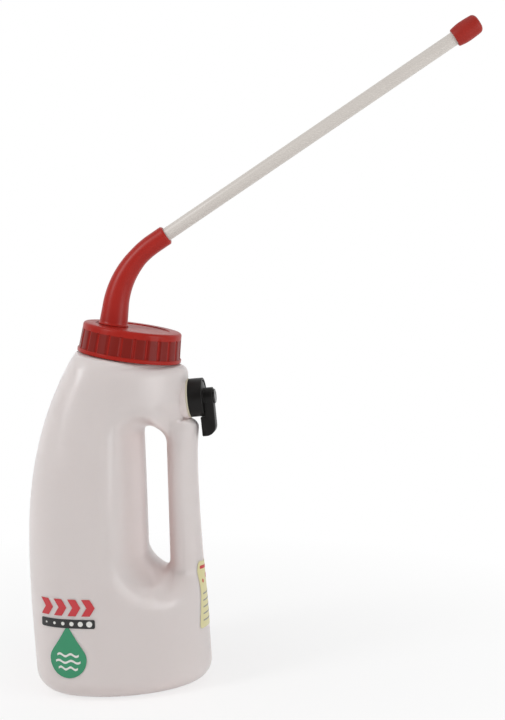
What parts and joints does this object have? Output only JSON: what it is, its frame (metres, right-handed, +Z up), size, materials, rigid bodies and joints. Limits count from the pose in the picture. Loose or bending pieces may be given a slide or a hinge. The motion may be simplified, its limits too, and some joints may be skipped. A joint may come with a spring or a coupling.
{
  "type": "livestock drencher",
  "caption": "Translucent handled jug with a screw cap, swan-neck outlet, long rigid drenching tube with a bulb tip, and a lever air valve that sets the flow.",
  "frame": {"origin": "middle of the jug's flat base, on the surface it stands on", "axes": "+Z up, +X from the jug's front towards the handle and the air valve, Y across the jug"},
  "size_m": [0.4082, 0.1516, 0.5996],
  "materials": {
    "milky_plastic": "milky translucent blow-moulded polyethylene, faint satin",
    "red_plastic": "glossy moulded plastic",
    "white_plastic": "smooth extruded tube",
    "red_rubber": "soft satin moulding",
    "black_plastic": "satin moulded plastic",
    "natural_rubber": "pale amber rubber",
    "black_rubber": "matte seal rubber",
    "steel": "plain stainless",
    "front_print": "plain printed ink: a drop, a dotted band and chevrons",
    "back_print": "pale printed film with setting marks"
  },
  "bodies": {
    "jug_body": {"jug": "milky_plastic", "valve_housing": "black_plastic", "valve_gasket": "natural_rubber", "valve_backnut": "black_plastic", "port_plate": "black_plastic", "rotor_seal": "black_rubber", "lever_screw": "steel", "lever_washer": "steel", "check_cage": "black_plastic", "front_label": "front_print", "back_label": "back_print"},
    "liner": {"cap_liner": "black_rubber"},
    "cap": {"cap": "red_plastic"},
    "elbow": {"elbow": "red_plastic", "elbow_nut": "red_plastic", "elbow_o_ring": "black_rubber", "tube_o_ring": "black_rubber"},
    "drench_tube": {"tube": "white_plastic", "tip": "red_rubber"},
    "lever": {"speed_lever": "black_plastic", "hub_cap": "black_plastic"},
    "check": {"check_disc": "black_rubber"}
  },
  "joints": [
    {"name": "cap_lift", "type": "slide", "parent": "jug_body", "child": "liner", "axis": [0.1478, 0, 0.989], "range_m": [0, 0.0106]},
    {"name": "cap_turn", "type": "hinge", "parent": "liner", "child": "cap", "pos_m": [0.0034, 0, 0.3016], "axis": [0.1478, 0, 0.989], "range_deg": [0, 540]},
    {"name": "elbow_swivel", "type": "hinge", "parent": "cap", "child": "elbow", "pos_m": [-0.0147, 0, 0.3043], "axis": [0.1478, 0, 0.989], "continuous": true},
    {"name": "tube_pull", "type": "slide", "parent": "elbow", "child": "drench_tube", "axis": [0.8368, 0, 0.5476], "range_m": [0, 0.024]},
    {"name": "lever_turn", "type": "hinge", "parent": "jug_body", "child": "lever", "pos_m": [0.058, 0, 0.2632], "axis": [0.9962, 0, 0.0872], "range_deg": [0, 120]},
    {"name": "check_lift", "type": "slide", "parent": "jug_body", "child": "check", "axis": [-0.9962, 0, -0.0872], "range_m": [0, 0.002]}
  ],
  "couplings": [
    {"joint": "cap_lift", "follows": "cap_turn", "m_per_rad": 0.0011141}
  ]
}
